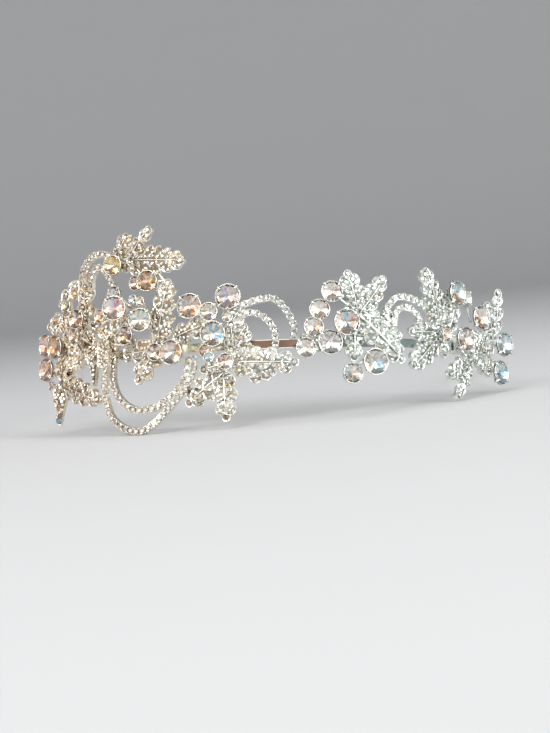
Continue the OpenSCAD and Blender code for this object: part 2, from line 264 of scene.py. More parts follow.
# Crystals that face more to the front than the band does there, by degrees
TURNED = {(-65, -2.5, 12): 17, (-65, 5, 12): 12, (-57.5, 3.5, 13): 10, (-49, 11, 12): 10,
          (-38, 25.5, 10): 14, (-36.5, 12.5, 12): 22, (-30.6, 8.5, 10.2): 16, (-29.5, 20, 8): 14,
          (49, 1, 10): -8, (56, 8, 10): -12, (66, 0.5, 12): -24, (62.5, -8.5, 12): -14}

# Crystals: middle of the girdle, width in mm, and the tints of its upper, lower, left and right facets,
# which are painted reflections of what lies on each side
PLACE, SIZE, LOOK = range(3)
CRYSTALS = {
    "crown_spray": [
        ((-38, 25.5, 10), 5.8, "yellow orange yellow yellow"),
        ((-29.5, 20, 8), 6, "brown orange copper yellow"),
        ((-34, 20, 6), 4.2, "brown copper brown cream"),
    ],
    "left_spray": [
        ((-65, 5, 12), 7, "orange orange pink peach"),
        ((-57.5, 3.5, 13), 7, "copper orange orange peach"),
        ((-65, -2.5, 12), 7, "orange peach copper pink"),
        ((-57, -3, 12), 4, "peach orange peach copper"),
        ((-53, 15.5, 12), 5, "grey brown yellow lilac"),
        ((-49, 11, 12), 5.8, "dark orange peach orange"),
        ((-50, 6, 12), 4.8, "dark peach copper cream"),
    ],
    "left_mid_spray": [
        ((-42.5, 11, 10), 4, "copper orange orange yellow"),
        ((-40, 17, 7), 5.4, "grey lilac grey cream"),
        ((-36.5, 12.5, 12), 7, "lilac peach white red"),
        ((-30.6, 8.5, 10.2), 6.6, "mint peach white grey"),
        ((-35.5, 4.5, 9), 5.4, "brown copper brown dark"),
    ],
    "centre_left_spray": [
        ((-23.5, -1.5, 9), 7, "pink grey peach grey"),
        ((-28, -1, 8), 5, "brown cream copper peach"),
        ((-19, 11.5, 8), 7.2, "grey orange white peach"),
        ((-14.5, 9.5, 8), 5.2, "cream white cream grey"),
    ],
    "centre_spray": [
        ((-13.5, 3, 9), 7.2, "grey peach cream sky"),
        ((-16, -1.5, 6.1), 3.8, "brown cream copper cream"),
        ((-10, 13.5, 8), 7.2, "grey peach lilac pink"),
        ((-11, -5, 8), 4.6, "copper cream copper white"),
    ],
    "bead_row": [
        ((7, -2, 8), 5.6, "white cream grey pink"),
        ((13.2, 14, 8.3), 6, "white cream white pink"),
        ((10.5, 9, 7), 5.8, "white peach white pink"),
        ((9, 4, 7), 5.6, "white cream white orange"),
        ((12.5, -0.5, 8), 7, "grey white grey white"),
    ],
    "right_spray": [
        ((16, 5, 10), 7.4, "sky peach white pink"),
        ((22, -6.5, 11), 7.4, "grey mint peach sky"),
        ((17.5, -9.5, 8), 5.8, "white copper blue white"),
    ],
    "far_right_spray": [
        ((46.5, 14.5, 10), 7.2, "sky orange white mint"),
        ((51, 13.5, 9), 5.4, "white mint cream white"),
        ((49, 1, 10), 7.2, "grey orange white white"),
        ((43, 2, 9), 3.8, "peach cream peach peach"),
    ],
    "right_end_spray": [
        ((56, 8, 10), 7.2, "white orange orange white"),
        ((66, 0.5, 12), 7.2, "blue cream mint blue"),
        ((62.5, -8.5, 12), 7.2, "mint white navy sky"),
    ],
}

# Small accent stones, in the same columns
ACCENTS = {
    "left_spray": [((-64, -7.5, 11), 3, "copper orange copper peach")],
    "left_mid_spray": [((-33, 14.8, 9), 2.6, "blue white blue white"),
                       ((-30.9, 14, 9), 2.6, "peach white cream peach")],
    "centre_spray": [((-15, -3.5, 7), 3, "blue mint blue white"),
                     ((-10.5, 8, 6.2), 3, "cream white cream white"),
                     ((-8, 6.5, 6), 3, "white cream white cream")],
    "right_end_spray": [((57, -1, 10), 2.8, "copper yellow peach cream"),
                        ((58.5, -6, 11), 3, "yellow cream yellow white")],
}

# Chains: the route of each row of cups, as (degrees, height, out) in mm
CHAINS = {
    "swag_outer": [(-42, 1.5, 7.5), (-42, -5, 8.5), (-42, -11, 9), (-40.5, -18, 9), (-37, -22, 9),
                   (-32, -23.8, 9), (-28.7, -21.8, 8), (-26, -18.5, 7), (-23.4, -15.4, 7),
                   (-20.8, -11.8, 7), (-19.3, -8.6, 7), (-18.7, -5.5, 7), (-18.5, -2.8, 7)],
    "swag_inner": [(-41.2, -1, 5.5), (-41.2, -5.5, 6.5), (-40.6, -9.5, 7), (-38.6, -14, 7),
                   (-34, -17.4, 7), (-29.2, -17, 6), (-26.2, -14.8, 5.3), (-23.5, -12.2, 5),
                   (-21.3, -8.6, 5), (-20.6, -5.2, 5), (-20.4, -2.8, 5)],
    "left_arch_outer": [(-49, 18, 9), (-49.5, 24.5, 8.5), (-48, 28.5, 7.5), (-44.5, 30, 7),
                        (-41, 29, 6)],
    "left_arch_inner": [(-48.5, 18, 6.5), (-48, 23.5, 6.5), (-46, 26.3, 6), (-43.5, 24.5, 5.5),
                        (-41, 19.5, 5)],
    "centre_arch_outer": [(-7.8, 10.6, 6.5), (-3.5, 12.3, 6), (0, 12.5, 6), (2.5, 10, 5),
                          (4.5, 5.5, 4), (4.7, 1.5, 2.5)],
    "centre_arch_inner": [(-7, 8.7, 6.5), (-4, 8.5, 6), (-1, 6, 5), (0.2, 2.5, 4), (0.2, -2, 3)],
    "right_arch_outer": [(27, 4, 6), (27, 9, 6), (29.5, 12.5, 7), (33.5, 12.3, 7), (37.5, 10, 7)],
    "right_arch_inner": [(28.8, 4.5, 6), (29.8, 8.6, 6), (32, 9.8, 7), (35, 7.5, 7), (35.7, 3.5, 7)],
}

# Small pave plates between the leaves: both ends as (degrees, height, out), and radius in mm
START, END, RADIUS = range(3)
PLATES = {
    "crown_spray": [],
    "left_spray": [
        ((-49.9, 22.5, 8.5), (-50, 17.3, 8.5), 1.2),
        ((-52.3, 3.7, 8), (-50.2, 1.3, 8), 1.6),
        ((-47.1, -1.4, 8), (-47.1, -1.4, 8), 1.9),
        ((-56.4, -2.2, 9), (-52.5, -1.4, 8), 1.7),
        ((-48.6, 12.6, 8), (-48.6, 12.6, 8), 1.6),
        ((-59.6, 0.9, 9), (-59.6, 0.9, 9), 1.9),
        ((-60.5, 13.2, 9.5), (-57.5, 12.4, 9.5), 1.6),
        ((-57, 9.3, 9.5), (-57, 9.3, 9.5), 1.8),
    ],
    "left_mid_spray": [
        ((-43, 2.4, 8), (-43.1, -2.4, 8), 2.2),
        ((-46.7, 8.7, 7), (-46.7, 8.7, 7), 1.7),
        ((-39.7, 8.3, 6.5), (-39.7, 8.3, 6.5), 2.1),
        ((-37.8, 4.8, 6), (-36, 3.4, 6), 1.8),
    ],
    "centre_left_spray": [((-33, 1.6, 5), (-29.6, 1.6, 5), 1.6)],
    "centre_spray": [((-10.6, 10.4, 6), (-6.9, 8.5, 5.5), 1.3)],
    "bead_row": [((10.3, 0.9, 6), (10.2, -2, 6), 1.2)],
    "right_spray": [],
    "far_right_spray": [((42.8, 12.8, 6), (48.3, 16.6, 7), 1.1)],
    "right_end_spray": [
        ((56.8, 1.4, 8), (53.6, -1.9, 8), 1.8),
        ((61.2, -1.4, 9), (61.2, -1.4, 9), 2),
        ((56.3, -5.4, 9), (59.4, -8.2, 9), 1.6),
        ((62, -6.2, 9.5), (62, -6.2, 9.5), 1.6),
    ],
}

# Bare polished wires in front of the leaves: the points that each runs through, and radius in mm
LOOPS = {
    "crown_spray": [([(-29.5, 23.9, 6), (-27.7, 21.6, 6.5), (-27.5, 18.7, 6.5), (-28.4, 15.5, 5)], 0.45)],
    "far_right_spray": [([(51, 12.5, 7.5), (51.8, 11.6, 8), (53.7, 6.6, 8)], 0.4)],
}

# Leaves with a heavier midrib, smooth pointed ones and ones with smaller lobes
HEAVY_RIBS = {("right_spray", 2)}
SMOOTH_LEAVES = {("left_spray", 3), ("left_spray", 8)}
FINE_LEAVES = {("crown_spray", 3), ("right_spray", 1), ("far_right_spray", 0)}
FINE_SHARE = 0.7

# Leaves whose tip holds a larger tinted stone
TIP_STONES = {("left_spray", 3): "slate"}
TIP_STONE_W = 2.1 * MM

# Leaves whose stones are darkened as painted shade: the share of their tint that is left
SHADED_LEAVES = {("left_spray", 4): 0.74, ("crown_spray", 4): 0.8, ("centre_left_spray", 2): 0.44,
                ("centre_left_spray", 3): 0.72, ("centre_spray", 2): 0.85, ("centre_spray", 3): 0.85,
                ("centre_spray", 4): 0.48, ("centre_spray", 5): 0.74, ("right_spray", 2): 0.8,
                ("far_right_spray", 2): 0.74, ("right_end_spray", 2): 0.74,
                ("right_end_spray", 4): 0.68, ("right_end_spray", 5): 0.8}

# Step of the search for places where another pave stone fits, and the small length that a slope is taken
# over, which also stands in for a lobe of no length
SEARCH_STEP = 0.2 * MM
NEAR = 0.1 * MM

TINTS = {
    "white": "#FFFDF6", "cream": "#FFF2DA", "yellow": "#F6DC8E", "peach": "#F8CBA0",
    "orange": "#F3A768", "copper": "#D2935F", "brown": "#957050", "dark": "#6C5C5A",
    "grey": "#BEBBBC", "lilac": "#DCD0E2", "pink": "#F4D2C8", "red": "#EC8674",
    "blue": "#BCE0F4", "sky": "#86CCEC", "mint": "#DCF0E4", "navy": "#3E5068",
    "slate": "#8E9FB0",
}

# Pave tints: how often each one comes up on the warm left side and on the cool right side; the warm and cool
# sides are painted light, as on the plate
WARM_PAVE = [("#FFFCF4", 7), ("#F8ECD8", 5), ("#E6D2B4", 2.5), ("#B39A7C", 1.2), ("#8A7662", 0.6)]
COOL_PAVE = [("#FFFFFF", 7), ("#F2F7F2", 5), ("#D6DDD6", 2.5), ("#EADCCB", 1.2), ("#8C938D", 0.8)]
# Chain stones go from warm to cool across the headband: the same painted light
CHAIN_TINTS = ("#D8CEC6", "#F0F2EC")
CHAIN_LIGHT = (0.84, 1.0)
WARM_END = -62 * MM
COOL_END = 20 * MM

# Least weight of a side's tint in the draw for a facet that looks the other way
ANY_SIDE = 0.02

# Crystal facets: the pale glint, a painted highlight, that tints are mixed with, the shares of it that a
# facet may have, the share near the girdle, which paints a bright rim, where that begins in a stone of unit
# width, and the darkest and lightest facet
GLINT = "#FFFCF3"
GLINT_SHARES = (0.0, 0.1, 0.35, 0.75)
GLINT_NEAR_RIM = 0.75
RIM_SHARE = 0.4
FACET_LIGHT = (0.68, 1.0)

# Foils behind the stones: the name of the material and its roughness
PAVE_FOIL = ("pave_foiled_glass", 0.2)
CRYSTAL_FOIL = ("crystal_foil_back", 0.06)

# Lights: place, width and height in metres, and the setting and the share of it that give the power
LAMPS = {
    "key_light": ((-0.45, -0.7, 0.55), 0.5, 0.35, "key", 1.0),
    "fill_light": ((0.6, -0.5, 0.3), 0.25, 0.5, "fill", 1.0),
    "top_light": ((0.05, 0.0, 0.85), 0.7, 0.5, "top", 1.0),
    "front_light": ((0.0, -1.6, 0.75), 3.0, 1.0, "tent", 1.5),
    "left_light": ((-1.2, -0.6, 0.5), 1.5, 0.9, "tent", 0.75),
    "right_light": ((1.2, -0.6, 0.46), 1.5, 0.9, "tent", 0.75),
}
LIT_POINT = Vector((0, -0.03, 0.03))
WORLD_TINT, WORLD_STRENGTH = "#C8CACE", 0.6

# Paper sweep: how far it reaches, the radius of its curve and how high it goes, in metres
SWEEP_REACH, SWEEP_CURVE, SWEEP_HIGH = 1.9, 0.6, 1.6

# Camera: distance from the band's middle, angle below its plane, roll, and focal length and shift in
# pixels of a frame whose longer side, 36 mm on the sensor, has so many pixels
CAMERA_AWAY = 550 * MM
CAMERA_LOW, CAMERA_ROLL = math.radians(4.6), math.radians(-2.03)
FOCAL_PX, SHIFT_PX, LONG_SIDE_PX, SENSOR = 1676, -4.1, 733, 36.0


def colour(text):
    """An sRGB hex value as the linear colour that a shader takes."""
    parts = [int(text[i:i + 2], 16) / 255 for i in (1, 3, 5)]
    linear = [c / 12.92 if c <= 0.04045 else ((c + 0.055) / 1.055) ** 2.4 for c in parts]
    return (*linear, 1.0)


class HeadbandLeaves(bpy.types.PropertyGroup):
    """Sizes of the leaves"""
    thick: FloatProperty(name="Leaf thickness", description="Thickness of a lobe's plate",
                         default=1.1 * MM, unit="LENGTH")
    lobe_pitch: FloatProperty(name="Lobe pitch", description="Midrib length that one pair of lobes takes",
                              default=4.1 * MM, unit="LENGTH")
    lobe_r: FloatProperty(name="Lobe radius", description="Largest radius of a lobe at the midrib",
                          default=2.35 * MM, unit="LENGTH")
    taper: FloatProperty(name="Lobe taper", description="Radius of a lobe's end, as a share of its largest",
                         default=0.84)
    overhang: FloatProperty(name="Lobe overhang", description="Reach of a lobe past the frame's plate",
                            default=0.3 * MM, unit="LENGTH")
    sweep: FloatProperty(name="Lobe angle", description="Angle between a lobe and the midrib",
                         default=math.radians(47), subtype="ANGLE")
    shingle: FloatProperty(name="Lobe tilt", description="Turn of each lobe that lifts its outer edge",
                           default=math.radians(9), subtype="ANGLE")
    bow: FloatProperty(name="Bow", description="Rise of a leaf's middle, as a share of its length",
                       default=0.06)
    keel: FloatProperty(name="Keel", description="Rise of the midrib above a leaf's edges",
                        default=0.6 * MM, unit="LENGTH")
    rib_r: FloatProperty(name="Midrib radius", description="Radius of the polished wire down a leaf",
                         default=0.2 * MM, unit="LENGTH")
    stem_r: FloatProperty(name="Stem radius", description="Radius of the wires behind the leaves",
                          default=0.58 * MM, unit="LENGTH")


class HeadbandStones(bpy.types.PropertyGroup):
    """Sizes and tints of the stones"""
    pave_w: FloatProperty(name="Pave stone width", description="Width of one pave stone",
                          default=1.1 * MM, unit="LENGTH")
    pave_table: FloatProperty(name="Pave table", description="Width of a table, as a share of its stone",
                              default=0.64)
    pave_tilt: FloatProperty(name="Pave tilt", description="Most that a pave stone leans in its seat",
                             default=math.radians(6), subtype="ANGLE")
    crown: FloatProperty(name="Crown height", description="Height above the girdle, as a share of width",
                         default=0.12)
    pavilion: FloatProperty(name="Pavilion depth", description="Depth below the girdle, as a share of width",
                            default=0.148)
    table: FloatProperty(name="Table width", description="Width of the table, as a share of the stone's",
                         default=0.56)
    bead_r: FloatProperty(name="Bead radius", description="Radius of a metal bead between pave stones",
                          default=0.17 * MM, unit="LENGTH")
    bead_gap: FloatProperty(name="Bead distance", description="Least distance between two beads",
                            default=1.7 * MM, unit="LENGTH")
    rim_wire: FloatProperty(name="Cup rim", description="Radius of the rounded rim of a cup",
                            default=0.13 * MM, unit="LENGTH")
    claw_bead: FloatProperty(name="Claw bead", description="Radius of the bead at a claw's end",
                             default=0.36 * MM, unit="LENGTH")
    seed: IntProperty(name="Seed", description="Start of the random draws of lean and tint", default=7)


class HeadbandChains(bpy.types.PropertyGroup):
    """Sizes of the cup chains"""
    wide: FloatProperty(name="Cup width", description="Width of a chain's square cup",
                        default=1.95 * MM, unit="LENGTH")
    deep: FloatProperty(name="Cup depth", description="Depth of a chain's square cup",
                        default=1.3 * MM, unit="LENGTH")
    pitch: FloatProperty(name="Cup pitch", description="Distance from one chain stone to the next",
                         default=2.05 * MM, unit="LENGTH")
    stone_w: FloatProperty(name="Stone width", description="Width of a chain stone",
                           default=1.62 * MM, unit="LENGTH")


class HeadbandStage(bpy.types.PropertyGroup):
    """Floor and lights"""
    floor: FloatVectorProperty(name="Floor colour", description="Colour of the pale paper sweep",
                               default=colour("#CBCBCB")[:3], subtype="COLOR", size=3)
    key: FloatProperty(name="Key light", description="Power of the large soft light at the front left",
                       default=3.8, unit="POWER")
    fill: FloatProperty(name="Fill light", description="Power of the soft light at the front right",
                        default=2.5, unit="POWER")
    tent: FloatProperty(name="Tent lights", description="Power of the large pale panels all round",
                        default=6.8, unit="POWER")
    top: FloatProperty(name="Top light", description="Power of the soft light overhead",
                       default=2.5, unit="POWER")


def sizes(group):
    """The scene's settings of one group."""
    return getattr(bpy.context.scene, "headband_" + group)


# Places round the band

def outward(deg):
    """The direction away from the head at some degrees round the band."""
    a = math.radians(deg)
    return Vector((math.sin(a), -math.cos(a), 0))


def at_band(p):
    """A point of the tables, (degrees, height, out) in mm, in metres."""
    return outward(p[0]) * (BAND_R + p[2] * MM) + Vector((0, 0, p[1] * MM))


def axes(x, y, z, at):
    """A placing matrix from its three axes and its origin."""
    return Matrix.Translation(at) @ Matrix((x, y, z)).transposed().to_4x4()


def facing_out(p, turn=0.0):
    """Where a crystal sits: its Z axis points away from the head, or is turned by some degrees."""
    z = outward(p[0] + turn)
    x = Vector((-z.y, z.x, 0))
    return axes(x, z.cross(x), z, at_band(p))


def leaf_place(row, stem):
    """Where a leaf lies: X runs from its base to its tip and Z points away from the head."""
    base = stem[row[ROOT]]
    b, t = at_band(base), at_band(row[TIP])
    x = (t - b).normalized()
    y = outward((base[0] + row[TIP][0]) / 2).cross(x).normalized()
    return axes(x, y, x.cross(y), b) @ Matrix.Rotation(math.radians(row[TURN]), 4, "X"), (t - b).length


def nearest(points, to):
    """The point of a stem that lies closest to a place."""
    return min((at_band(p) for p in points), key=lambda p: (p - to).length)


# Mesh work

def faces_of(verts):
    """The faces round some vertices, each once and in the same order at every run."""
    return list(dict.fromkeys(f for v in verts for f in v.link_faces))


def edges_of(verts):
    """The edges of some vertices, in the same way."""
    return list(dict.fromkeys(e for v in verts for e in v.link_edges))


def paint(faces, finish, smooth=False):
    """Gives faces one of the piece's finishes, flat or smooth."""
    for f in faces:
        f.material_index = finish
        f.smooth = smooth


def tinted(face, layer, tint):
    """Writes a facet's tint on its corners."""
    for corner in face.loops:
        corner[layer] = tint


def rod(bm, path, radii, sides=8):
    """A wire through the path: a ring is extruded from point to point and its two ends are filled."""
    ring = bmesh.ops.create_circle(bm, cap_ends=False, segments=sides, radius=1.0)["verts"]
    first = edges = edges_of(ring)
    everything = list(ring)
    was = Matrix.Identity(4)
    for i, p in enumerate(path):
        ahead = path[min(i + 1, len(path) - 1)] - path[max(i - 1, 0)]
        turn = ahead.to_track_quat("Z", "Y").to_matrix().to_4x4()
        now = Matrix.Translation(p) @ turn @ Matrix.Diagonal((radii[i], radii[i], radii[i], 1))
        if i:
            grown = bmesh.ops.extrude_edge_only(bm, edges=edges)["geom"]
            ring = [g for g in grown if isinstance(g, bmesh.types.BMVert)]
            inside = set(ring)
            edges = [g for g in grown if isinstance(g, bmesh.types.BMEdge) and set(g.verts) <= inside]
            everything += ring
        bmesh.ops.transform(bm, matrix=now @ was.inverted(), verts=ring)
        was = now
    bmesh.ops.holes_fill(bm, edges=first + edges, sides=sides)
    paint(faces_of(everything), PLATE, True)


def bead(bm, at, radius):
    """A small ball of metal."""
    got = bmesh.ops.create_icosphere(bm, subdivisions=1, radius=radius, matrix=Matrix.Translation(at))
    paint(faces_of(got["verts"]), PLATE, True)


def add_object(name, data):
    """A new object of the scene that holds this mesh, light or camera."""
    made = bpy.data.objects.new(name, data)
    bpy.context.scene.collection.objects.link(made)
    return made


def mesh_object(name, bm, materials):
    """A new object from a bmesh and its materials."""
    mesh = bpy.data.meshes.new(name)
    bm.to_mesh(mesh)
    bm.free()
    for m in materials:
        mesh.materials.append(m)
    return add_object(name, mesh)


def finish_piece(name, bm, materials, stands_for=()):
    """Turns the faces outwards, lays the piece down with the band and hands it to the frame."""
    bmesh.ops.recalc_face_normals(bm, faces=bm.faces)
    bmesh.ops.transform(bm, matrix=AT_REST, verts=bm.verts)
    piece = mesh_object(name, bm, materials)
    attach(piece, "root")
    if stands_for:
        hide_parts(*stands_for)


# Materials

def add_node(tree, kind, inputs=None, **settings):
    """Adds a node, sets its settings, and fills or links its sockets."""
    made = tree.nodes.new(kind)
    for key, value in settings.items():
        setattr(made, key, value)
    for key, value in (inputs or {}).items():
        if isinstance(value, bpy.types.NodeSocket):
            tree.links.new(value, made.inputs[key])
        else:
            made.inputs[key].default_value = value
    return made


def new_material(name, plain):
    """A Principled material with these plain values: the material, its tree and its shader."""
    made = bpy.data.materials.new(name)
    made.use_nodes = True
    shader = made.node_tree.nodes["Principled BSDF"]
    for key, value in plain.items():
        shader.inputs[key].default_value = value
    return made, made.node_tree, shader


def share_across(tree, low, high):
    """Object coordinates, and how far a point lies across the headband from one end to the other."""
    place = add_node(tree, "ShaderNodeTexCoord").outputs["Object"]
    x = add_node(tree, "ShaderNodeSeparateXYZ", {"Vector": place}).outputs["X"]
    share = add_node(tree, "ShaderNodeMapRange", {"Value": x, "From Min": low, "From Max": high})
    return place, share.outputs["Result"]


def plate_tone(tree, shader, warm, cool):
    """Plate that looks creamy on the left side and cool on the right, as the light falls there."""
    place, side = share_across(tree, WARM_END, COOL_END)
    tone = add_node(tree, "ShaderNodeMix", {"Factor": side, "A": colour(warm), "B": colour(cool)},
                    data_type="RGBA")
    tree.links.new(tone.outputs["Result"], shader.inputs["Base Color"])
    return place


def handled(tree, shader, place, spots, low, high):
    """The haze of plate that has been handled: roughness that wanders in so many spots a millimetre."""
    haze = add_node(tree, "ShaderNodeTexNoise", {"Vector": place, "Scale": spots / MM, "Detail": 2.0})
    rough = add_node(tree, "ShaderNodeMapRange",
                     {"Value": haze.outputs["Fac"], "To Min": low, "To Max": high})
    tree.links.new(rough.outputs["Result"], shader.inputs["Roughness"])


def silver_plate_polished():
    """Bright silver plate on cast brass: mirror-like, with a little haze in spots of 1.1 mm."""
    made, tree, shader = new_material("silver_plate_polished", {"Metallic": 1.0})
    place = plate_tone(tree, shader, "#F7EDDD", "#F3F6F1")
    handled(tree, shader, place, 0.9, 0.18, 0.34)
    return made


def silver_plate_shadowed():
    """Dull plate in the beds between the stones, darkened as painted shade: the dark lines that set each
    stone off.
    """
    made, tree, shader = new_material("silver_plate_shadowed", {"Metallic": 1.0, "Roughness": 0.45})
    plate_tone(tree, shader, "#A38C72", "#969C94")
    return made


def band_strip_plated():
    """Rolled brass strip with silver plate, its colour painted reflection: coppery at the front, paler and
    cooler to both sides.

    Its edges carry a painted highlight over 0.3 mm, and its haze comes in spots of 1.4 mm.
    """
    made, tree, shader = new_material("band_strip_plated", {"Metallic": 1.0})
    place, share = share_across(tree, -40 * MM, 50 * MM)
    ramp = add_node(tree, "ShaderNodeValToRGB", {"Fac": share})
    # Painted reflection along the band; the pale left end is also painted light where the sprays shade the
    # band
    stops = [(0.0, "#F0ECDC"), (0.2, "#E8E6D0"), (0.32, "#8A6D5C"), (0.47, "#785F50"),
             (0.6, "#A8978A"), (0.8, "#E6FAFF"), (1.0, "#E6EEF2")]
    for i, (at, text) in enumerate(stops):
        stop = ramp.color_ramp.elements[i] if i < 2 else ramp.color_ramp.elements.new(at)
        stop.position = at
        stop.color = colour(text)
    level = add_node(tree, "ShaderNodeMapping", {"Vector": place, "Location": REST_SHIFT,
                                                 "Rotation": (REST_PITCH, REST_ROLL, 0)},
                     vector_type="TEXTURE")
    height = add_node(tree, "ShaderNodeSeparateXYZ", {"Vector": level.outputs["Vector"]}).outputs["Z"]
    off = add_node(tree, "ShaderNodeMath", {0: height}, operation="ABSOLUTE").outputs["Value"]
    # Painted highlight along both edges of the strip
    edge_highlight = add_node(tree, "ShaderNodeMapRange", {"Value": off, "From Min": BAND_H / 2 - 0.3 * MM,
                                                 "From Max": BAND_H / 2 - 0.1 * MM}).outputs["Result"]
    edged = add_node(tree, "ShaderNodeMix", {"Factor": edge_highlight, "A": ramp.outputs["Color"],
                                             "B": colour("#F1ECE2")}, data_type="RGBA")
    tree.links.new(edged.outputs["Result"], shader.inputs["Base Color"])
    handled(tree, shader, place, 0.7, 0.1, 0.24)
    return made


def lead_crystal_crown():
    """Polished lead crystal: transparent, with sharp facets that bend what lies behind them a little."""
    made, _, _ = new_material("lead_crystal_crown", {
        "Base Color": colour("#FFFFFF"), "Roughness": 0.0, "IOR": 1.22, "Transmission Weight": 1.0,
        "Coat Weight": 1.0, "Coat Roughness": 0.0})
    return made


def foiled_facets(name, roughness):
    """Mirror foil behind cut glass: each facet throws back the tint on its corners, which in the crystals is
    painted reflection and in the pave partly painted light.
    """
    made, tree, shader = new_material(name, {"Metallic": 1.0, "Roughness": roughness})
    tint = add_node(tree, "ShaderNodeVertexColor", layer_name="tint")
    tree.links.new(tint.outputs["Color"], shader.inputs["Base Color"])
    return made


def sweep_paper():
    """Matt pale paper of the studio sweep."""
    made, _, _ = new_material("sweep_paper", {"Base Color": (*sizes("stage").floor, 1.0),
                                              "Roughness": 0.85})
    return made


def material(make, *values):
    """The material of that kind, made once."""
    name = values[0] if values else make.__name__
    return bpy.data.materials.get(name) or make(*values)


# Pieces

def draws(name):
    """Random draws of a piece's own, the same at every run."""
    return random.Random(f"{name} {sizes('stones').seed}")


def coolness(x):
    """How far a point lies from the warm end of the headband to the cool one."""
    return min(1.0, max(0.0, (x - WARM_END) / (COOL_END - WARM_END)))


def pave_tint(x, rnd, clear):
    """A pave facet's tint by where it sits across the headband, whose warm and cool sides are painted light,
    darkened as painted shade to the share that is given.
    """
    table = COOL_PAVE if rnd.random() < coolness(x) else WARM_PAVE
    tint = Vector(colour(rnd.choices([t for t, _ in table], [w for _, w in table])[0])[:3]) * clear
    return (*tint, 1.0)


def leaning(rnd, most):
    """A small random lean in a seat, and a random turn about the stone's own axis."""
    return (Matrix.Rotation(rnd.uniform(-most, most), 4, "X")
            @ Matrix.Rotation(rnd.uniform(-most, most), 4, "Y")
            @ Matrix.Rotation(rnd.uniform(0, STONE_TURN), 4, "Z"))


def pave_stone(bm, layer, place, width, rnd, finish=0, tint=None, sway=1.0, clear=1.0):
    """One small cut stone: an octagonal girdle, eight crown facets, a table and a closed back."""
    s = sizes("stones")
    high = width * PAVE_HIGH
    got = bmesh.ops.create_cone(bm, cap_ends=True, segments=8, radius1=width / 2,
                                radius2=width / 2 * s.pave_table, depth=high,
                                matrix=place @ leaning(rnd, sway * s.pave_tilt)
                                @ Matrix.Translation((0, 0, high / 2)))
    x = place.translation.x
    own = tint or pave_tint(x, rnd, clear)
    plain = 1.0 if tint else ONE_TINT
    for f in faces_of(got["verts"]):
        f.material_index = finish
        flat = len(f.verts) == 8
        tinted(f, layer, own if flat or rnd.random() < plain else pave_tint(x, rnd, clear))


def leaf_half(s, wide):
    """Half the leaf's width at a share of its length, as in the frame."""
    return (LEAF_BASE + (1 - LEAF_BASE) * math.sin(math.pi * s ** LEAF_FULLEST)) * wide * MM / 2


def lobe(bm, start, length, angle, radius, end, tilt, bend, rise):
    """One tapered lobe: a disc drawn out along its length, thickened, with a sunk bed for its stones."""
    s = sizes("leaves")
    got = bmesh.ops.create_circle(bm, cap_ends=True, segments=16, radius=radius,
                                  matrix=Matrix.Rotation(math.radians(11.25), 4, "Z"))
    verts = got["verts"]
    bmesh.ops.transform(bm, verts=[v for v in verts if v.co.x > 0],
                        matrix=Matrix.Translation((length, 0, 0)) @ Matrix.Scale(end / radius, 4))
    bed = bmesh.ops.extrude_face_region(bm, geom=faces_of(verts))["geom"]
    top = [g for g in bed if isinstance(g, bmesh.types.BMVert)]
    bmesh.ops.translate(bm, verts=top, vec=(0, 0, s.thick))
    lid = [g for g in bed if isinstance(g, bmesh.types.BMFace)]
    rim = bmesh.ops.inset_region(bm, faces=lid, thickness=BED_RIM, depth=-BED_DEEP)["faces"]
    everything = list(dict.fromkeys([v for f in lid + rim for v in f.verts] + verts + top))
    bmesh.ops.transform(bm, matrix=Matrix.Translation(start) @ Matrix.Rotation(angle, 4, "Z")
                        @ Matrix.Rotation(tilt, 4, "X"), verts=everything)
    for v in everything:
        v.co.z += rise(v.co.x, v.co.y) - s.thick * (1 - LEAF_ABOVE)
    bmesh.ops.transform(bm, matrix=bend, verts=everything)
    paint(faces_of(everything), PLATE)
    # The sunk bed takes the darkened plate: painted shade between the stones
    paint(lid, BEDS)


def tip_radius(wide):
    """Radius of the round end of a leaf."""
    return min(TIP_R, TIP_SHARE * wide * MM)


def lobes_of(length, wide, smooth, fine):
    """The lobes of a leaf: start on the midrib, length, angle, two radii and tilt of each."""
    s = sizes("leaves")
    if smooth:
        base = SMOOTH_BASE * wide * MM
        return [(Vector((base, 0, 0)), length - base - SMOOTH_POINT, 0.0, base, SMOOTH_POINT, 0.0)]
    pairs = max(2, round((length - TIP_TAKES) / (s.lobe_pitch * (FINE_SHARE if fine else 1.0))))
    gap = length / (pairs + LAST_ROOM)
    rows = []
    for k in range(pairs):
        share = (k + FIRST_PAIR) / (pairs + LAST_ROOM)
        half = leaf_half(share, wide)
        radius = min(s.lobe_r, LOBE_ROOM * gap, LOBE_HALF * half)
        out = half + s.overhang - s.taper * radius
        for side in (1, -1):
            x = max(0.0, share * length - out / math.tan(s.sweep))
            angle = math.atan2(out, share * length - x)
            reach = math.hypot(out, share * length - x)
            rows.append((Vector((x, 0, 0)), reach, side * angle, radius, s.taper * radius,
                         -side * s.shingle))
    tip_r = tip_radius(wide)
    rows.append((Vector((length - (TIP_REACH + 1) * tip_r, 0, 0)), TIP_REACH * tip_r, 0.0,
                 TIP_START * tip_r, tip_r, 0.0))
    return rows


def on_lobe(q, row):
    """How far a point lies inside a lobe's outline, and how high the tilted lobe stands there."""
    start, reach, angle, radius, end, tilt = row
    ahead = Vector((math.cos(angle), math.sin(angle), 0))
    along = (q - start).dot(ahead)
    aside = (q - start).dot(Vector((-ahead.y, ahead.x, 0)))
    on = min(reach, max(0.0, along))
    narrowed = radius + (end - radius) * on / max(reach, NEAR)
    return narrowed - math.hypot(along - on, aside), aside * math.tan(tilt)


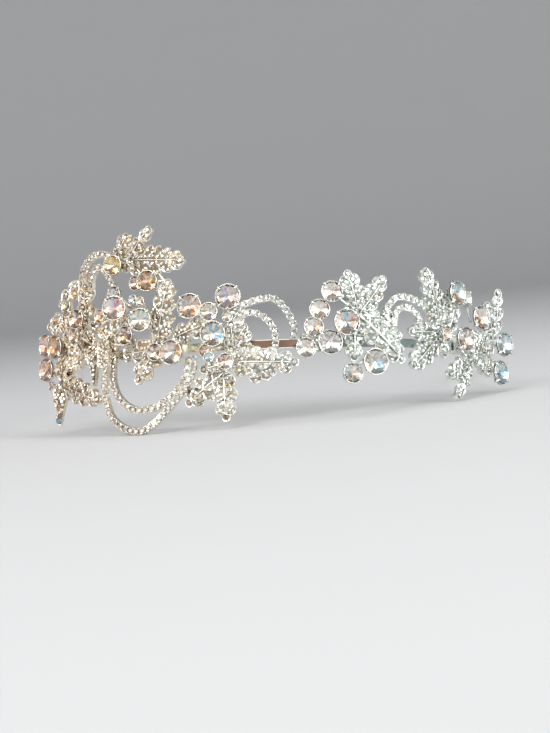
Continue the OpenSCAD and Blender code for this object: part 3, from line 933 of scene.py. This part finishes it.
def seats_on(lobes, seats, kerb=0.0):
    """Pave stones wherever they fit, working inwards from the outline, and the beads between them.

    A seat is a point, its lift above the leaf, its turn and its stone's width, and some may be given. No
    other stone sits within the kerb of the midrib.
    """
    p = sizes("stones")
    turns = [Matrix.Rotation(tilt, 4, Vector((math.cos(angle), math.sin(angle), 0)))
             for _, _, angle, _, _, tilt in lobes]
    ends = [start + Vector((math.cos(angle), math.sin(angle), 0)) * reach
            for start, reach, angle, *_ in lobes]
    room = max(radius for _, _, _, radius, _, _ in lobes)
    left = min(start.x for start, *_ in lobes) - room
    right = max(v.x for v in ends) + room
    side = max(abs(v.y) for v in ends) + room
    spots = []
    for i in range(int((right - left) / SEARCH_STEP)):
        for j in range(int(2 * side / SEARCH_STEP)):
            q = Vector((left + i * SEARCH_STEP, (j + 0.5) * SEARCH_STEP - side, 0))
            if abs(q.y) < kerb:
                continue
            found = [(lift, inside, k) for k, (inside, lift) in enumerate(on_lobe(q, row) for row in lobes)
                     if inside > 0]
            if found:
                lift, inside, k = max(found)
                spots.append((round(inside / SEARCH_STEP), i, j, q, lift, turns[k], inside))
    spots.sort(key=lambda spot: spot[:3])
    for _, _, _, q, lift, turn, inside in spots:
        if inside > 0.5 * p.pave_w + SEAT_EDGE and all(
                (q - at).length > SEAT_SPACE * (p.pave_w + width) for at, _, _, width in seats):
            seats.append((q, lift, turn, p.pave_w))
    beads = []
    for _, _, _, q, lift, _, inside in spots:
        if (inside > BEAD_EDGE
                and all((q - at).length > 0.5 * width + BEAD_CLEAR for at, _, _, width in seats)
                and all((q - at).length > p.bead_gap for at, _ in beads)):
            beads.append((q, lift))
    return seats, beads


def riser(length, wide):
    """How far the leaf's surface rises at a point: its bow and its keel."""
    s = sizes("leaves")

    def rise(x, y):
        share = min(1.0, max(0.0, x / length))
        half = leaf_half(share, wide)
        keel = s.keel * min(1.0, half / KEEL_FULL)
        return 4 * s.bow * length * share * (1 - share) + keel * max(0.0, 1 - abs(y) / half)
    return rise


def build_leaf(metal, stones, layer, row, stem, rnd, key):
    """One leaf: its lobes, its midrib, its pave stones and the beads between them."""
    s, p = sizes("leaves"), sizes("stones")
    heavy, smooth, fine = key in HEAVY_RIBS, key in SMOOTH_LEAVES, key in FINE_LEAVES
    # Some leaves' stones are darkened: painted shade
    tip, clear = TIP_STONES.get(key), SHADED_LEAVES.get(key, 1.0)
    bend, length = leaf_place(row, stem)
    wide = row[WIDE]
    rise = riser(length, wide)
    lobes = lobes_of(length, wide, smooth, fine)
    for shape in lobes:
        lobe(metal, *shape, bend, rise)
    top = s.thick * LEAF_ABOVE
    rib, sunk = (HEAVY_RIB * s.rib_r, HEAVY_RIB_SUNK) if heavy else (s.rib_r, RIB_SUNK)
    last = 1 - (tip_radius(wide) + 0.5 * p.pave_w) / length
    shares = [last * k / RIB_STEPS for k in range(RIB_STEPS + 1)]
    path = [bend @ Vector((t * length, 0, rise(t * length, 0) + top - sunk)) for t in shares]
    if not smooth:
        rod(metal, path, [rib * (RIB_BASE - RIB_LOSS * t) for t in shares], sides=6)
    kerb = 0.0 if smooth else KERB_WIRE * rib + KERB_STONE * p.pave_w
    at_tip = Vector((length - tip_radius(wide), 0, 0))
    seats, beads = seats_on(lobes, [(at_tip, 0.0, Matrix.Identity(4), TIP_STONE_W if tip else p.pave_w)],
                            kerb)
    for q, lift in beads:
        bead(metal, bend @ Vector((q.x, q.y, rise(q.x, q.y) + top + lift)), p.bead_r)
    for q, lift, turn, width in seats:
        slope = (rise(q.x, q.y + NEAR) - rise(q.x, q.y - NEAR)) / (2 * NEAR)
        along = (rise(q.x + NEAR, q.y) - rise(q.x - NEAR, q.y)) / (2 * NEAR)
        lie = Matrix.Rotation(math.atan(slope), 4, "X") @ Matrix.Rotation(-math.atan(along), 4, "Y")
        at = Vector((q.x, q.y, rise(q.x, q.y) + top + lift - SEAT_SUNK))
        pave_stone(stones, layer, bend @ Matrix.Translation(at) @ lie @ turn, width, rnd,
                   tint=colour(TINTS[tip]) if width == TIP_STONE_W else None, clear=clear)


def back_wire(bm, stem, back):
    """The short wire that holds a cup or plate on the nearest point of its stem."""
    rod(bm, [nearest(stem, back), back], [BACK_WIRE_R, BACK_WIRE_R], sides=6)


def build_plate(metal, stones, layer, row, stem, rnd):
    """A small round-ended plate of pave, held by a wire from its stem."""
    s, p = sizes("leaves"), sizes("stones")
    a, b, radius = at_band(row[START]), at_band(row[END]), row[RADIUS] * MM
    long = (b - a).length
    place = facing_out(row[START])
    if long > 0:
        x = (b - a).normalized()
        z = (outward(row[START][0]) - x * outward(row[START][0]).dot(x)).normalized()
        place = axes(x, z.cross(x), z, a)
    outline = (Vector((0, 0, 0)), long, 0.0, radius, radius, 0.0)
    lobe(metal, *outline, place, lambda x, y: 0.0)
    seats, beads = seats_on([outline], [])
    for q, _ in beads:
        bead(metal, place @ Vector((q.x, q.y, s.thick * LEAF_ABOVE)), p.bead_r)
    for q, _, _, width in seats:
        seat = q + Vector((0, 0, s.thick * LEAF_ABOVE - SEAT_SUNK))
        pave_stone(stones, layer, place @ Matrix.Translation(seat), width, rnd)
    back_wire(metal, stem, place @ Vector((long / 2, 0, -s.thick * 0.2)))


def rim_wire(bm, place, radius, thick):
    """The rounded rim of a cup: a small circle spun once round the crystal."""
    upright = Matrix.Translation((radius, 0, 0)) @ Matrix.Rotation(math.radians(90), 4, "X")
    got = bmesh.ops.create_circle(bm, cap_ends=False, segments=6, radius=thick, matrix=place @ upright)
    old = set(bm.verts) - set(got["verts"])
    bmesh.ops.spin(bm, geom=got["verts"] + edges_of(got["verts"]), axis=place.to_3x3() @ Vector((0, 0, 1)),
                   cent=place.translation, steps=20, angle=2 * math.pi, use_merge=True)
    paint(faces_of([v for v in bm.verts if v not in old]), PLATE, True)


def build_cup(bm, place, d):
    """A crystal's setting: a tapered cup with a seat for the stone, and four claws that end in beads."""
    s = sizes("stones")
    r = d / 2
    floor, rim = -d * s.pavilion - CUP_BELOW, -d * CUP_MOUTH
    got = bmesh.ops.create_cone(bm, cap_ends=True, segments=16, radius1=(r + CUP_WALL) * CUP_FLOOR,
                                radius2=r + CUP_WALL, depth=rim - floor,
                                matrix=place @ Matrix.Translation((0, 0, (rim + floor) / 2)))
    lid = max(faces_of(got["verts"]), key=lambda f: (place.inverted() @ f.calc_center_median()).z)
    seat = bmesh.ops.inset_region(bm, faces=[lid], thickness=CUP_LIP)["faces"]
    sink = place @ Matrix.Translation((0, 0, rim - d * CUP_SEAT)) @ Matrix.Diagonal(
        (CUP_POINT, CUP_POINT, 1, 1)) @ Matrix.Translation((0, 0, -rim)) @ place.inverted()
    bmesh.ops.transform(bm, matrix=sink, verts=list(lid.verts))
    paint(faces_of(got["verts"]) + seat + [lid], PLATE)
    rim_wire(bm, place @ Matrix.Translation((0, 0, RIM_ABOVE * d)), r + RIM_CLEAR, s.rim_wire)
    out, slim = r + CLAW_CLEAR, min(1.0, d / LARGE_CRYSTAL)
    # Distance from the middle and height: from the cup's side up past the girdle and in over the crown
    path = [(r * 0.72, -d * s.pavilion * 0.75), (out, -d * 0.1), (out + 0.02 * d, d * 0.05),
            (r * 0.9, d * s.crown * 0.62)]
    for k in range(4):
        turn = place @ Matrix.Rotation(math.radians(45 + 90 * k), 4, "Z")
        points = [turn @ Vector((x, 0, z)) for x, z in path]
        rod(bm, points, [t * slim * MM for t in CLAW_RADII], sides=6)
        bead(bm, points[-1], s.claw_bead * slim)


def build_collar(bm, stones, layer, deg, rnd):
    """The square loop that holds a spray on the band, with pave on its front."""
    wall, gap, wide = 1.2 * MM, 0.1 * MM, 3 * MM
    deep, high = BAND_T + 2 * (gap + wall), BAND_H + 2 * (gap + wall)
    turn = Matrix.Rotation(math.radians(deg), 4, "Z") @ Matrix.Translation((0, -BAND_R, 0))
    got = bmesh.ops.create_cube(bm, size=1.0, matrix=turn @ Matrix.Diagonal((wide, deep, high, 1)))
    side = turn.to_3x3() @ Vector((1, 0, 0))
    ends = [f for f in faces_of(got["verts"]) if abs(f.calc_center_median().dot(side)
            - turn.translation.dot(side)) > 0.4 * wide]
    bmesh.ops.inset_individual(bm, faces=ends, thickness=wall)
    loops = [e for f in ends for e in f.edges]
    bmesh.ops.delete(bm, geom=ends, context="FACES_ONLY")
    bmesh.ops.bridge_loops(bm, edges=loops)
    step = 1.08 * MM
    for i in (-0.9, 0, 0.9):
        for j in (-1.5, -0.5, 0.5, 1.5):
            seat = turn @ Matrix.Translation((i * step, -deep / 2 + 0.1 * MM, j * step))
            pave_stone(stones, layer, seat @ Matrix.Rotation(math.radians(90), 4, "X"), 0.96 * step, rnd)


def build_spray(name):
    """One soldered spray: stems, leaves, cups and the collar, and the pave stones as their own piece."""
    s, p = sizes("leaves"), sizes("stones")
    stem = STEMS[name]
    rnd = draws(name)
    metal, stones = bmesh.new(), bmesh.new()
    layer = stones.loops.layers.float_color.new("tint")
    for a, b in zip(stem, stem[1:]):
        rod(metal, [at_band(a), at_band(b)], [s.stem_r, s.stem_r])
    for knot in stem[1:]:
        bead(metal, at_band(knot), s.stem_r * KNOT)
    for i, row in enumerate(LEAVES[name]):
        build_leaf(metal, stones, layer, row, stem, rnd, (name, i))
    for row in PLATES[name]:
        build_plate(metal, stones, layer, row, stem, rnd)
    for points, radius in LOOPS.get(name, []):
        rod(metal, [at_band(q) for q in points], [radius * MM] * len(points))
    for row in CRYSTALS[name] + ACCENTS.get(name, []):
        d = row[SIZE] * MM
        place = facing_out(row[PLACE], TURNED.get(row[PLACE], 0))
        build_cup(metal, place, d)
        back_wire(metal, stem, place @ Vector((0, 0, -d * p.pavilion - CUP_BELOW)))
    build_collar(metal, stones, layer, stem[0][0], rnd)
    finish_piece(name + "_metal", metal, [material(silver_plate_polished), material(silver_plate_shadowed)],
                 [name])
    finish_piece(name + "_pave", stones, [material(foiled_facets, *PAVE_FOIL)])


def crystal_blank():
    """A round brilliant of unit width: table, star, kite and girdle facets above, a foiled point below."""
    s = sizes("stones")
    blank = bmesh.new()
    half_turn = math.radians(22.5)
    # Corners, radius, height and turn of each ring, from the table down over the girdle to the point
    rings = [(8, s.table / 2, s.crown, 0.0), (8, 0.43, s.crown * 0.45, half_turn),
             (16, 0.5, GIRDLE / 2, 0.0), (16, 0.5, -GIRDLE / 2, 0.0),
             (16, 0.4, -s.pavilion * 0.33, half_turn / 2), (16, 0.3, -s.pavilion * 0.54, 0.0),
             (8, 0.2, -s.pavilion * 0.73, 0.0), (8, 0.1, -s.pavilion * 0.9, half_turn),
             (4, 0.03, -s.pavilion, half_turn / 2)]
    for sides, radius, z, turn in rings:
        bmesh.ops.create_circle(blank, cap_ends=False, segments=sides, radius=radius,
                                matrix=Matrix.Translation((0, 0, z)) @ Matrix.Rotation(turn, 4, "Z"))
    bmesh.ops.delete(blank, geom=list(blank.edges), context="EDGES_FACES")
    hull = bmesh.ops.convex_hull(blank, input=list(blank.verts))
    spare = [g for g in hull["geom_interior"] + hull["geom_unused"] if isinstance(g, bmesh.types.BMVert)]
    bmesh.ops.delete(blank, geom=spare, context="VERTS")
    bmesh.ops.dissolve_limit(blank, angle_limit=math.radians(1), verts=blank.verts, edges=blank.edges)
    bmesh.ops.recalc_face_normals(blank, faces=blank.faces)
    mesh = bpy.data.meshes.new("crystal_blank")
    blank.to_mesh(mesh)
    blank.free()
    return mesh


def set_crystal(bm, layer, blank, row, rnd):
    """Sets one crystal in place, glass above the girdle and foil facets below it, tinted with painted
    reflection and painted glint.
    """
    sides = [Vector(colour(TINTS[t])[:3]) for t in row[LOOK].split()]
    glint = Vector(colour(GLINT)[:3])
    place = facing_out(row[PLACE], TURNED.get(row[PLACE], 0))
    lean = leaning(rnd, CRYSTAL_LEAN)
    old = len(bm.verts)
    bm.from_mesh(blank)
    bm.verts.ensure_lookup_table()
    verts = bm.verts[old:]
    bmesh.ops.transform(bm, matrix=lean, verts=verts)
    for f in faces_of(verts):
        f.normal_update()
        n = f.normal
        f.material_index = FOIL if n.z < FOIL_FROM else GLASS
        # Painted reflection: each facet draws the tint of the side that it faces
        weights = [ANY_SIDE + max(0.0, toward) ** 1.5 for toward in (n.y, -n.y, -n.x, n.x)]
        own = rnd.choices(sides, weights)[0]
        # Painted highlight: facets near the girdle are mostly glint, a bright rim
        near_rim = f.calc_center_median().xy.length > RIM_SHARE
        own = own.lerp(glint, GLINT_NEAR_RIM if near_rim else rnd.choice(GLINT_SHARES))
        tinted(f, layer, (*(own * rnd.uniform(*FACET_LIGHT)), 1.0))
    d = row[SIZE] * MM
    bmesh.ops.transform(bm, matrix=place @ Matrix.Diagonal((d, d, d, 1)), verts=verts)


def chain_middles(route):
    """A chain's cups, evenly spaced on a smooth curve: middle, heading and outward axis, and their step."""
    p = [at_band(r) for r in route]
    q = [2 * p[0] - p[1], *p, 2 * p[-1] - p[-2]]
    line = []
    for i in range(len(p) - 1):
        a, b, c, d = q[i:i + 4]
        for k in range(4):
            t = k / 4
            line.append(0.5 * (2 * b + (c - a) * t + (2 * a - 5 * b + 4 * c - d) * t * t
                               + (3 * b - a - 3 * c + d) * t ** 3))
    line.append(p[-1])
    runs = [0.0]
    for a, b in zip(line, line[1:]):
        runs.append(runs[-1] + (b - a).length)
    count = math.floor(runs[-1] / sizes("chains").pitch)
    middles = []
    for k in range(count):
        want = (k + 0.5) * runs[-1] / count
        i = max(j for j in range(len(line) - 1) if runs[j] <= want)
        middles.append(line[i].lerp(line[i + 1], (want - runs[i]) / (runs[i + 1] - runs[i])))
    rows = []
    for i, m in enumerate(middles):
        t = (middles[min(i + 1, count - 1)] - middles[max(i - 1, 0)]).normalized()
        o = Vector((m.x, m.y, 0)).normalized()
        rows.append((m, t, (o - o.dot(t) * t).normalized()))
    return rows, runs[-1] / count


def build_chain(name):
    """One stiff row of square cups, each with a cut stone and a prong at every corner."""
    c = sizes("chains")
    rnd = draws(name)
    bm = bmesh.new()
    layer = bm.loops.layers.float_color.new("tint")
    rows, step = chain_middles(CHAINS[name])
    for m, t, n in rows:
        place = axes(t, n.cross(t), n, m)
        got = bmesh.ops.create_cube(bm, size=1.0, matrix=place @ Matrix.Diagonal(
            (step * CHAIN_FILL, c.wide, c.deep, 1)))
        verts = got["verts"]
        lid = max(faces_of(verts), key=lambda f: f.calc_center_median().dot(n))
        rim = bmesh.ops.inset_region(bm, faces=[lid], thickness=CHAIN_LIP, depth=-CHAIN_SEAT)["faces"]
        paint(faces_of(verts) + rim + [lid], PLATE)
        seat = place @ Matrix.Translation((0, 0, c.deep / 2 - 0.02 * MM)) @ Matrix.Rotation(
            math.radians(22.5), 4, "Z")
        tint = Vector(colour(CHAIN_TINTS[0])).lerp(Vector(colour(CHAIN_TINTS[1])), coolness(m.x))
        tint *= rnd.uniform(*CHAIN_LIGHT)
        pave_stone(bm, layer, seat, c.stone_w, rnd, STONES, (*tint[:3], 1.0), CHAIN_SWAY)
        for x in (-1, 1):
            for y in (-1, 1):
                corner = Vector((x * CHAIN_CORNER[0] * step, y * CHAIN_CORNER[1] * c.wide,
                                 c.deep / 2 + 0.1 * MM))
                bead(bm, place @ corner, CHAIN_BEAD_R)
    spine = [m - n * c.deep * CHAIN_WIRE_DEEP for m, _, n in rows]
    rod(bm, spine, [CHAIN_WIRE_R] * len(spine), sides=6)
    finish_piece(name + "_cups", bm,
                 [material(silver_plate_polished), material(foiled_facets, *PAVE_FOIL)],
                 [name])


def crystal_nodes(name):
    """The frame's crystal nodes that belong to a spray: they are numbered through the table."""
    owners = [spray for spray, rows in CRYSTALS.items() for _ in rows]
    return [f"crystal_{i:02d}" for i, owner in enumerate(owners, 1) if owner == name]


# Operators

class HEADBAND_OT_band(bpy.types.Operator):
    """Gives the band its plated finish"""
    bl_idname = "headband.band"
    bl_label = "Finish the band"

    def execute(self, context):
        band = bpy.data.objects["band"]
        band.data.materials.clear()
        band.data.materials.append(material(band_strip_plated))
        return {"FINISHED"}


class HEADBAND_OT_sprays(bpy.types.Operator):
    """Builds the nine sprays of pave leaves with their cups"""
    bl_idname = "headband.sprays"
    bl_label = "Add the sprays"

    def execute(self, context):
        for name in STEMS:
            build_spray(name)
        return {"FINISHED"}


class HEADBAND_OT_crystals(bpy.types.Operator):
    """Sets the round crystals and the small accent stones"""
    bl_idname = "headband.crystals"
    bl_label = "Set the crystals"

    def execute(self, context):
        blank = crystal_blank()
        groups = [(name + "_crystals", rows, crystal_nodes(name)) for name, rows in CRYSTALS.items()]
        small = [row for rows in ACCENTS.values() for row in rows]
        groups.append(("accent_crystals", small, ["accent_stones"]))
        for piece, rows, nodes in groups:
            bm = bmesh.new()
            layer = bm.loops.layers.float_color.new("tint")
            rnd = draws(piece)
            for row in rows:
                set_crystal(bm, layer, blank, row, rnd)
            finish_piece(piece, bm, [material(lead_crystal_crown), material(foiled_facets, *CRYSTAL_FOIL)],
                         nodes)
        bpy.data.meshes.remove(blank)
        return {"FINISHED"}


class HEADBAND_OT_chains(bpy.types.Operator):
    """Builds the eight stiff chains of square cups"""
    bl_idname = "headband.chains"
    bl_label = "Add the chains"

    def execute(self, context):
        for name in CHAINS:
            build_chain(name)
        return {"FINISHED"}


def add_sweep():
    """The paper sweep: a bent profile spun round, so that paper stands behind every view."""
    bm = bmesh.new()
    path = [Vector((0, 0, 0)), Vector((0.5, 0, 0)), Vector((SWEEP_REACH - SWEEP_CURVE, 0, 0))]
    path += [Vector((SWEEP_REACH - SWEEP_CURVE + SWEEP_CURVE * math.sin(a), 0,
                     SWEEP_CURVE - SWEEP_CURVE * math.cos(a)))
             for a in (math.radians(15 * k) for k in range(1, 7))]
    path.append(Vector((SWEEP_REACH, 0, SWEEP_HIGH)))
    verts = [bm.verts.new(p) for p in path]
    edges = [bm.edges.new(pair) for pair in zip(verts, verts[1:])]
    bmesh.ops.spin(bm, geom=verts + edges, axis=(0, 0, 1), cent=(0, 0, 0), steps=64,
                   angle=2 * math.pi, use_merge=True)
    bmesh.ops.remove_doubles(bm, verts=bm.verts, dist=0.01 * MM)
    bmesh.ops.recalc_face_normals(bm, faces=bm.faces)
    low = min(bm.faces, key=lambda f: f.calc_center_median().length)
    if low.normal.z < 0:
        bmesh.ops.reverse_faces(bm, faces=bm.faces)
    paint(bm.faces, 0, True)
    mesh_object("paper_sweep", bm, [material(sweep_paper)])


def add_lamp(name, at, wide, high, power):
    """A soft rectangular light that points at the headband."""
    light = bpy.data.lights.new(name, "AREA")
    light.shape = "RECTANGLE"
    light.size = wide
    light.size_y = high
    light.energy = power
    lamp = add_object(name, light)
    lamp.location = at
    lamp.rotation_euler = (LIT_POINT - Vector(at)).to_track_quat("-Z", "Y").to_euler()


def add_world(scene):
    """Even grey light from all round, so that no facet looks into the dark."""
    world = bpy.data.worlds.new("studio_grey")
    world.use_nodes = True
    background = world.node_tree.nodes["Background"]
    background.inputs["Color"].default_value = colour(WORLD_TINT)
    background.inputs["Strength"].default_value = WORLD_STRENGTH
    scene.world = world


def add_camera(scene):
    """The camera of the photograph: a little below the band's plane, which lies tipped on the floor."""
    eye = Vector((0, -CAMERA_AWAY * math.cos(CAMERA_LOW), -CAMERA_AWAY * math.sin(CAMERA_LOW)))
    up = Vector((0, -math.sin(CAMERA_LOW), math.cos(CAMERA_LOW)))
    side = Vector((1, 0, 0))
    right = side * math.cos(CAMERA_ROLL) + up * math.sin(CAMERA_ROLL)
    top = up * math.cos(CAMERA_ROLL) - side * math.sin(CAMERA_ROLL)
    lens = bpy.data.cameras.new("photo_camera")
    lens.sensor_width = SENSOR
    lens.lens = FOCAL_PX * SENSOR / LONG_SIDE_PX
    lens.shift_y = SHIFT_PX / LONG_SIDE_PX
    lens.clip_start = 10 * MM
    camera = add_object("photo_camera", lens)
    camera.matrix_world = AT_REST @ axes(right, top, eye.normalized(), eye)
    scene.camera = camera


class HEADBAND_OT_stage(bpy.types.Operator):
    """Adds the pale paper sweep, the soft lights and the camera"""
    bl_idname = "headband.stage"
    bl_label = "Set the stage"

    def execute(self, context):
        add_sweep()
        for name, (at, wide, high, setting, share) in LAMPS.items():
            add_lamp(name, at, wide, high, share * getattr(sizes("stage"), setting))
        add_world(context.scene)
        add_camera(context.scene)
        context.scene.view_settings.view_transform = "Standard"
        return {"FINISHED"}


class HEADBAND_PT_panel(bpy.types.Panel):
    """Buttons for the headband's pieces"""
    bl_idname = "HEADBAND_PT_panel"
    bl_label = "Filigree headband"
    bl_space_type = "VIEW_3D"
    bl_region_type = "UI"
    bl_category = "Headband"

    def draw(self, context):
        for group in ("leaves", "stones", "chains", "stage"):
            box = self.layout.box()
            values = sizes(group)
            for key in type(values).__annotations__:
                box.prop(values, key)
        for step in STEPS:
            self.layout.operator(step.bl_idname)


STEPS = (HEADBAND_OT_band, HEADBAND_OT_sprays, HEADBAND_OT_crystals, HEADBAND_OT_chains,
         HEADBAND_OT_stage)
GROUPS = {"leaves": HeadbandLeaves, "stones": HeadbandStones, "chains": HeadbandChains,
          "stage": HeadbandStage}


def register():
    for made in (*GROUPS.values(), *STEPS, HEADBAND_PT_panel):
        bpy.utils.register_class(made)
    for key, made in GROUPS.items():
        setattr(bpy.types.Scene, "headband_" + key, PointerProperty(type=made))


def unregister():
    for key in GROUPS:
        delattr(bpy.types.Scene, "headband_" + key)
    for made in (HEADBAND_PT_panel, *reversed(STEPS), *reversed(list(GROUPS.values()))):
        bpy.utils.unregister_class(made)


def main():
    register()
    bpy.ops.headband.stage()
    bpy.ops.headband.band()
    bpy.ops.headband.sprays()
    bpy.ops.headband.crystals()
    bpy.ops.headband.chains()


if __name__ == "__main__":
    main()
